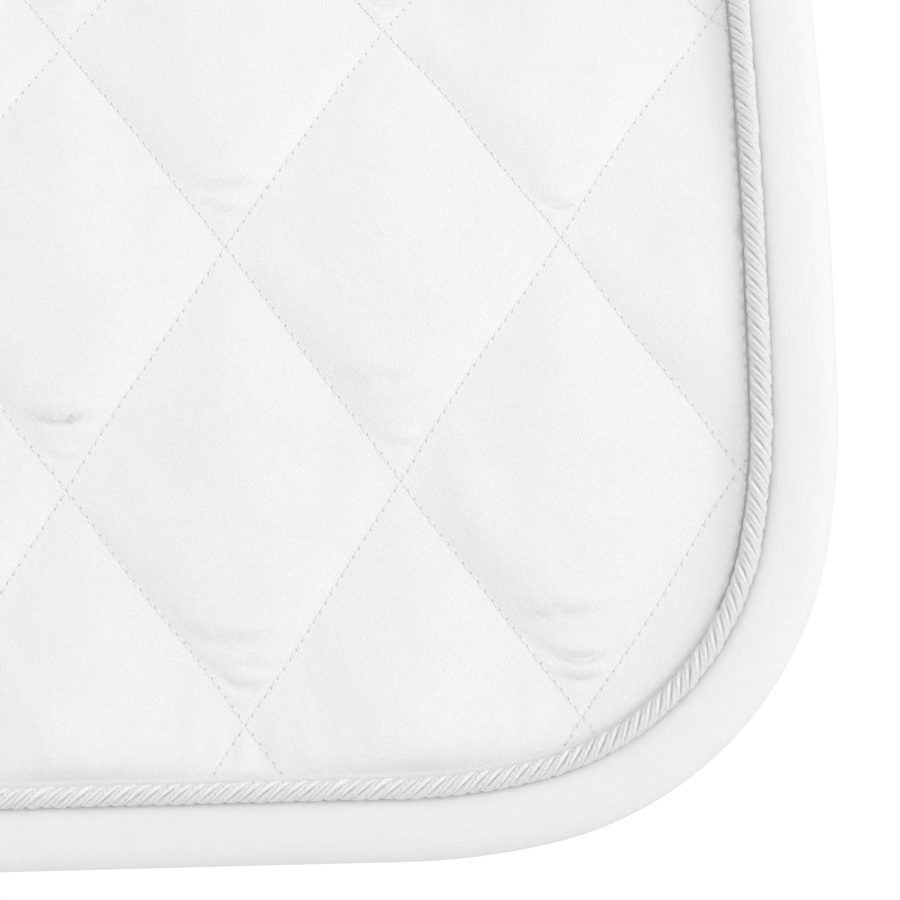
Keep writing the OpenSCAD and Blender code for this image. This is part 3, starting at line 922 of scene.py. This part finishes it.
def quilting_stitches(name, side, lining=False):
    """The stitches of the quilting on the face or the lining, one row of the lattice after another."""
    spots = []
    steps = np.arange(CELLS[0] * STITCHES, CELLS[1] * STITCHES)
    middle = (steps + 0.5) / STITCHES
    for line in np.arange(CELLS[0], CELLS[1] + 1):
        for p, q, dp, dq in ((line + 0 * middle, middle, 0, 1), (middle, line + 0 * middle, 1, 0)):
            x, s = lattice_point(p, q)
            step_s = (dq - dp) * DIAMOND_H / 2
            step_x = (dp + dq) * DIAMOND_W / 2 + step_s * ROW_TILT
            size = math.hypot(step_x, step_s)
            spots.append(np.stack([x, s, x * 0 + step_x / size, x * 0 + step_s / size], -1))
    spots = np.concatenate(spots)
    spots = spots[(spots[:, 1] > 12) & (spots[:, 1] < FLAP_DROP) & (np.abs(spots[:, 0]) < SPINE_REAR + 12)]
    x, s = spots[:, 0], spots[:, 1]
    inset, direction = edge_distance(x, s)
    sag = np.clip(-direction[:, 1], 0, 1) ** 2
    keep = inset > 23.5 if lining else (inset > 22.5) & (under_straps(x, s) > 0.6)
    level = lining_level if lining else face_level
    at, along, normal = frame_at(spots[keep], level(x[keep], s[keep], 0, inset[keep], sag[keep]), side)
    return stitches(name, at, along, -normal if lining else normal, QUILTING_STITCH, 0.17)


def row_of_stitches(points, pitch):
    """Middles and directions of the stitches along a line of (x, s) points."""
    points = np.asarray(points, float)
    length = running_length(points)
    count = max(1, round(length[-1] / pitch))
    t = (np.arange(count) + 0.5) * length[-1] / count

    def at(t):
        return np.stack([np.interp(t, length, points[:, k]) for k in (0, 1)], -1)

    return np.concatenate([at(t), unit(at(t + 0.2) - at(t - 0.2))], -1)


def box_and_cross(x0, x1, s0, s1, cross=True):
    """Rows of stitches round a rectangle of the pattern, and along both its diagonals."""
    corners = [(x0, s0), (x1, s0), (x1, s1), (x0, s1)]
    rows = [row_of_stitches([corners[k], corners[(k + 1) % 4]], BOX_PITCH) for k in range(4)]
    if cross:
        rows += [row_of_stitches([corners[k], corners[k + 2]], BOX_PITCH) for k in (0, 1)]
    return np.concatenate(rows)


# ---- Webbing ----
WEBBING_T = 1.7


def strap_section(width, thickness, edge=0.55):
    """A flat section with rounded edges, as (across, out) points round it."""
    half_w, half_t = width / 2, thickness / 2
    flat = np.linspace(-half_w + edge, half_w - edge, 9)

    def corner(cx, cy, a):
        turns = [math.radians(t) for t in (a + 22, a + 68)]
        return [(cx + edge * math.cos(t), cy + min(edge, half_t) * math.sin(t)) for t in turns]

    inner = half_w - edge
    top = half_t - min(edge, half_t)
    points = [(v, half_t) for v in flat[::-1]]
    points += corner(-inner, top, 90) + corner(-inner, -top, 180)
    points += [(v, -half_t) for v in flat]
    points += corner(inner, -top, 270) + corner(inner, top, 0)
    return np.array(points)


def strip(name, line, place_point, section, cover, reverse=False, waviness=0.0):
    """A strap along (u, d) points. place_point(across, u, d) gives its points in the part's frame."""
    line = np.asarray(line, float)
    along = running_length(line)
    t = np.linspace(0, along[-1], max(12, round(along[-1] / 1.4)))
    u, d = np.interp(t, along, line[:, 0]), np.interp(t, along, line[:, 1])
    du, dd = np.gradient(u), np.gradient(d)
    size = np.hypot(du, dd)
    nu, nd = -dd / size, du / size
    across, out = section[:, 0], section[:, 1]
    wave = waviness * np.sin(t / 6.1) * np.sin(t / 13.7 + 1)
    rings = place_point(
        across[None] + 0 * u[:, None],
        u[:, None] + out[None] * nu[:, None],
        d[:, None] + out[None] * nd[:, None] + wave[:, None],
    )
    return add_loft(name, rings, t, section, cover, reverse)


def lift_of_loop(u):
    """How far the webbing has risen, from 0 where it's sewn to 1 in a gap, at u from the loop's end."""
    span = (LOOP_LENGTH - 3 * LOOP_SEWN) / 2
    v = np.where(u < LOOP_SEWN + span, u - LOOP_SEWN, u - 2 * LOOP_SEWN - span)
    return smooth(np.minimum(v, span - v) / LOOP_RISE)


def girth_loop(side, name):
    """The webbing, sewn down at both ends and in the middle, with a gap for the girth on each side of it."""
    u = np.linspace(0, LOOP_LENGTH, 140)
    base = -0.9  # the level that the webbing is sewn down on
    line = np.stack([u, base + WEBBING_T / 2 + (LOOP_GAP - base + 0.1) * lift_of_loop(u)], -1)

    def on_flap(across, v, d):
        return place(LOOP_X - LOOP_LENGTH / 2 + v, LOOP_S + across, d, side)

    section = strap_section(LOOP_W, WEBBING_T)
    return strip(name, line, on_flap, section, WEBBING, reverse=side < 0, waviness=0.12)


def binding_stitches(name, side):
    """The row that holds the binding on the side towards the horse."""
    line = edge_sections([19.6])[:, 0]
    rows = row_of_stitches(line[line[:, 1] > 6], 3.0)
    at, along, normal = frame_at(rows, -9.0, side)
    return stitches(name, at, along, -normal, 2.3, 0.2)


def stitched(name, rows, d, side):
    """Stitches along rows of (x, s, dx, ds) at level d."""
    at, along, normal = frame_at(rows, d, side)
    return stitches(name, at, along, normal, 2.1, 0.24)


def loop_threads(side, name):
    span = (LOOP_LENGTH - 3 * LOOP_SEWN) / 2
    rows = []
    for k in (-1, 0, 1):
        middle = LOOP_X + k * (span + LOOP_SEWN)
        rows.append(box_and_cross(middle - 6, middle + 6, LOOP_S - 16, LOOP_S + 16))
    return stitched(name, np.concatenate(rows), 0.8, side)


def strap_line():
    """The billet strap's middle line, from its sewn end round the fold to its free end."""
    low, high = 0.65, 5.7
    turns = [math.radians(t) for t in np.linspace(-90, 90, 13)]
    middle, radius = (low + high) / 2, (high - low) / 2
    fold = [(2.2 - radius * math.cos(t), middle + radius * math.sin(t)) for t in turns]
    return [(STRAP_LENGTH, low), (50, low), *fold, (40, high), (TAB_LENGTH, high)]


def on_strap(side):
    return lambda across, u, d: place(STRAP_X + across, STRAP_S + u, d, side)


# ---- Every piece of one side ----
BEND_FROM, BEND_TO = 9.5, 42.0
PATCHES = (("pile", 2.3, 1.6, 0.7, PILE), ("hook", 4.1, 1.5, 0.5, HOOKS))


def bend_with(piece, side):
    """Bakes the piece's transform into its mesh. Where the hinge from the spine to the flap starts and ends
    is worked out but not used.
    """
    start, end = (place(0, s, -5.0, side) * MM for s in (BEND_FROM, BEND_TO))
    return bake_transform(piece)


def dress(side, sign):
    flap, tab = f"{side}_flap", f"{side}_tab"
    seed = 5 if sign < 0 else 8
    face = quilted_layer(f"{side}_quilted_face", FINE, sign, face_level, seed, -4.6, True, COTTON)
    lining = quilted_layer(
        f"{side}_quilted_lining", MEDIUM, sign, lining_level, seed + 20, -5.0, False, LINING
    )
    wadding = wadding_layer(f"{side}_soft_wadding", COARSE, sign, seed)
    tape = binding(f"{side}_bound_edge", sign)
    rope = twisted_cord(f"{side}_cord_trim", sign)
    thread = quilting_stitches(f"{side}_quilting_stitches", sign)
    under = quilting_stitches(f"{side}_lining_stitches", sign, lining=True)
    hem = binding_stitches(f"{side}_binding_stitches", sign)
    covers = (
        (face, "outer_cotton", ["outer_fabric"]), (lining, "lining_cotton", ["lining"]),
        (wadding, "wadding", ["wadding"]), (tape, "edge_binding", ["edge_binding"]),
        (rope, "twisted_cord", ["twisted_cord"]), (thread, "thread", ["quilting_thread"]),
        (under, "thread", []), (hem, "thread", []),
    )
    for piece, slot, nodes in covers:
        bend_with(piece, sign)
        if nodes:
            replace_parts(piece, *(f"{side}_{node}" for node in nodes))
    end = "rear" if sign < 0 else "front"
    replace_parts(tape, f"spine_binding_{end}")
    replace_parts(rope, f"spine_cord_{end}")
    if sign < 0:
        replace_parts(wadding, "spine_seam_core")

    loop = girth_loop(sign, f"{side}_loop_webbing")
    box_stitch = loop_threads(sign, f"{side}_loop_threads")
    strap = strip(
        f"{side}_strap_webbing", strap_line(), on_strap(sign),
        strap_section(STRAP_W, WEBBING_T), WEBBING, reverse=sign > 0,
    )
    pile, hook = (
        strip(
            f"{side}_{name}_patch", [(PATCH_FROM, level), (PATCH_TO, level)], on_strap(sign),
            strap_section(STRAP_W - 3, thickness, edge), cover, reverse=sign > 0,
        )
        for name, level, thickness, edge, cover in PATCHES
    )
    sewn_x, low_s = STRAP_W / 2 - 2.5, STRAP_S + STRAP_LENGTH
    strap_rows = box_and_cross(STRAP_X - sewn_x, STRAP_X + sewn_x, low_s - 12, low_s - 2.5, cross=False)
    strap_stitch = stitched(f"{side}_strap_threads", strap_rows, 1.4, sign)
    tab_rows = box_and_cross(
        STRAP_X - 9.5, STRAP_X + 9.5, STRAP_S + PATCH_FROM + 1.5, STRAP_S + PATCH_TO - 1.5, cross=False
    )
    tab_stitch = stitched(f"{side}_tab_threads", tab_rows, 6.45, sign)
    strap_start, strap_end = (place(STRAP_X, STRAP_S, d, sign) * MM for d in (1.6, 4.75))
    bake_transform(strap)
    for piece, body, slot, nodes in (
        (loop, flap, "webbing", ["girth_loop"]), (box_stitch, flap, "thread", ["loop_stitching"]),
        (pile, flap, "hook_and_loop", ["loop_fastener"]), (hook, tab, "hook_and_loop", ["hook_fastener"]),
        (strap_stitch, flap, "thread", []), (tab_stitch, tab, "thread", []),
        (strap, None, "webbing", ["billet_strap", "billet_tab"]),
    ):
        if body:
            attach(piece, body)
        if nodes:
            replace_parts(piece, *(f"{side}_{node}" for node in nodes))


dress("near", -1)
dress("off", 1)


# ---- Tapes over and under the spine ----
TAPE_HALF = 9.0


def spine_tape(name, top, bottom, node):
    """A tape along the spine between the levels top and bottom."""
    end = SPINE_REAR - CORD_INSET - 1
    x = np.linspace(-end, end, 320)
    s = np.linspace(-TAPE_HALF, TAPE_HALF, 17)
    upper = np.stack([s, np.full(len(s), top)], -1)
    upper[[0, -1], 1] -= 0.25  # the edges are pulled down a little
    lower = np.stack([s[::-1], np.full(len(s), bottom)], -1)
    section = np.concatenate([upper, lower])
    wave = 0.12 * np.sin(x / 11.3) * np.sin(x / 29)
    rings = place(x[:, None], section[None, :, 0], section[None, :, 1] + wave[:, None], 1)
    piece = add_loft(name, rings, x - x[0], section, WEBBING, True)
    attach(piece, "spine")
    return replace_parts(piece, node)


def spine_stitches():
    parts = []
    for s, d, out in ((-6.5, 0.35, 1), (6.5, 0.35, 1), (-6.5, -12.1, -1), (6.5, -12.1, -1)):
        end = SPINE_REAR - CORD_INSET - 6
        rows = row_of_stitches([(-end, s), (end, s)], 3.0)
        at, along, normal = frame_at(rows, d, 1)
        parts.append((at, along, normal * out))
    at, along, normal = (np.concatenate([p[k] for p in parts]) for k in range(3))
    piece = stitches("spine_threads", at, along, normal, 2.2, 0.24)
    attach(piece, "spine")
    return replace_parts(piece, "spine_stitching")


spine_tape("spine_top_tape", 0.35, -1.2, "spine_outer_tape")
spine_tape("spine_under_tape", -10.9, -12.1, "spine_inner_tape")
spine_stitches()


# ---- Camera: close on the lower rear corner of the near flap ----
TARGET = np.array([191.2, -250.0, -287.0])
AZIMUTH, ELEVATION, ROLL = (math.radians(a) for a in (1.83, 1.30, -1.80))
DISTANCE = 542.5
PIXELS_PER_MM = 4.0
FRAME_PIXELS = 900
SENSOR = 36


def add_camera():
    level = math.cos(ELEVATION)
    ahead = Vector((-math.sin(AZIMUTH) * level, math.cos(AZIMUTH) * level, -math.sin(ELEVATION)))
    right = ahead.cross(Vector((0, 0, 1))).normalized()
    up = right.cross(ahead)
    c, s = math.cos(ROLL), math.sin(ROLL)
    right, up = right * c + up * s, up * c - right * s
    position = (Vector(TARGET) - ahead * DISTANCE) * MM
    camera = bpy.data.objects.new("camera", bpy.data.cameras.new("camera"))
    camera.data.sensor_width = SENSOR
    camera.data.lens = DISTANCE * PIXELS_PER_MM * SENSOR / FRAME_PIXELS
    camera.data.clip_start = 0.02
    camera.matrix_world = Matrix.Translation(position) @ Matrix((right, up, -ahead)).transposed().to_4x4()
    bpy.context.collection.objects.link(camera)
    bpy.context.scene.camera = camera


add_camera()


# ---- Studio ----
FLOOR_HALF, FLOOR_Z = 1400, -800
LIT, SHOWN = 0.838, 1.05  # how bright the surroundings are as light and as seen by the camera


def add_area(name, place_m, target_m, size, watts):
    light = bpy.data.lights.new(name, "AREA")
    light.shape = "SQUARE"
    light.size, light.energy = size, watts
    lamp = bpy.data.objects.new(name, light)
    lamp.location = place_m
    lamp.rotation_euler = (Vector(target_m) - Vector(place_m)).to_track_quat("-Z", "Y").to_euler()
    bpy.context.collection.objects.link(lamp)


def add_studio():
    signs = ((-1, -1), (1, -1), (1, 1), (-1, 1))
    points = np.array([(x * FLOOR_HALF, y * FLOOR_HALF, FLOOR_Z) for x, y in signs], float)
    paper = bpy.data.materials.new("white_paper")
    paper.use_nodes = True
    shader = paper.node_tree.nodes["Principled BSDF"]
    set_inputs(shader, {"Base Color": (0.93, 0.93, 0.93, 1), "Roughness": 1})
    floor = add_mesh("floor", points, [np.array([[0, 1, 2, 3]])], None, [paper])
    world = bpy.data.worlds.new("studio")
    bpy.context.scene.world = world
    world.use_nodes = True
    tree = world.node_tree
    lit, shown = tree.nodes["Background"], tree.nodes.new("ShaderNodeBackground")
    for background, strength in ((lit, LIT), (shown, SHOWN)):
        set_inputs(background, {"Color": (1, 1, 1, 1), "Strength": strength})
    path = tree.nodes.new("ShaderNodeLightPath")
    mix = tree.nodes.new("ShaderNodeMixShader")
    tree.links.new(path.outputs["Is Camera Ray"], mix.inputs[0])
    tree.links.new(lit.outputs[0], mix.inputs[1])
    tree.links.new(shown.outputs[0], mix.inputs[2])
    tree.links.new(mix.outputs[0], tree.nodes["World Output"].inputs["Surface"])
    add_area("key", (2.85, -2.6, 1.15), (0.15, -0.2, -0.25), 2.0, 44)
    bpy.context.scene.view_settings.view_transform = "Standard"


add_studio()
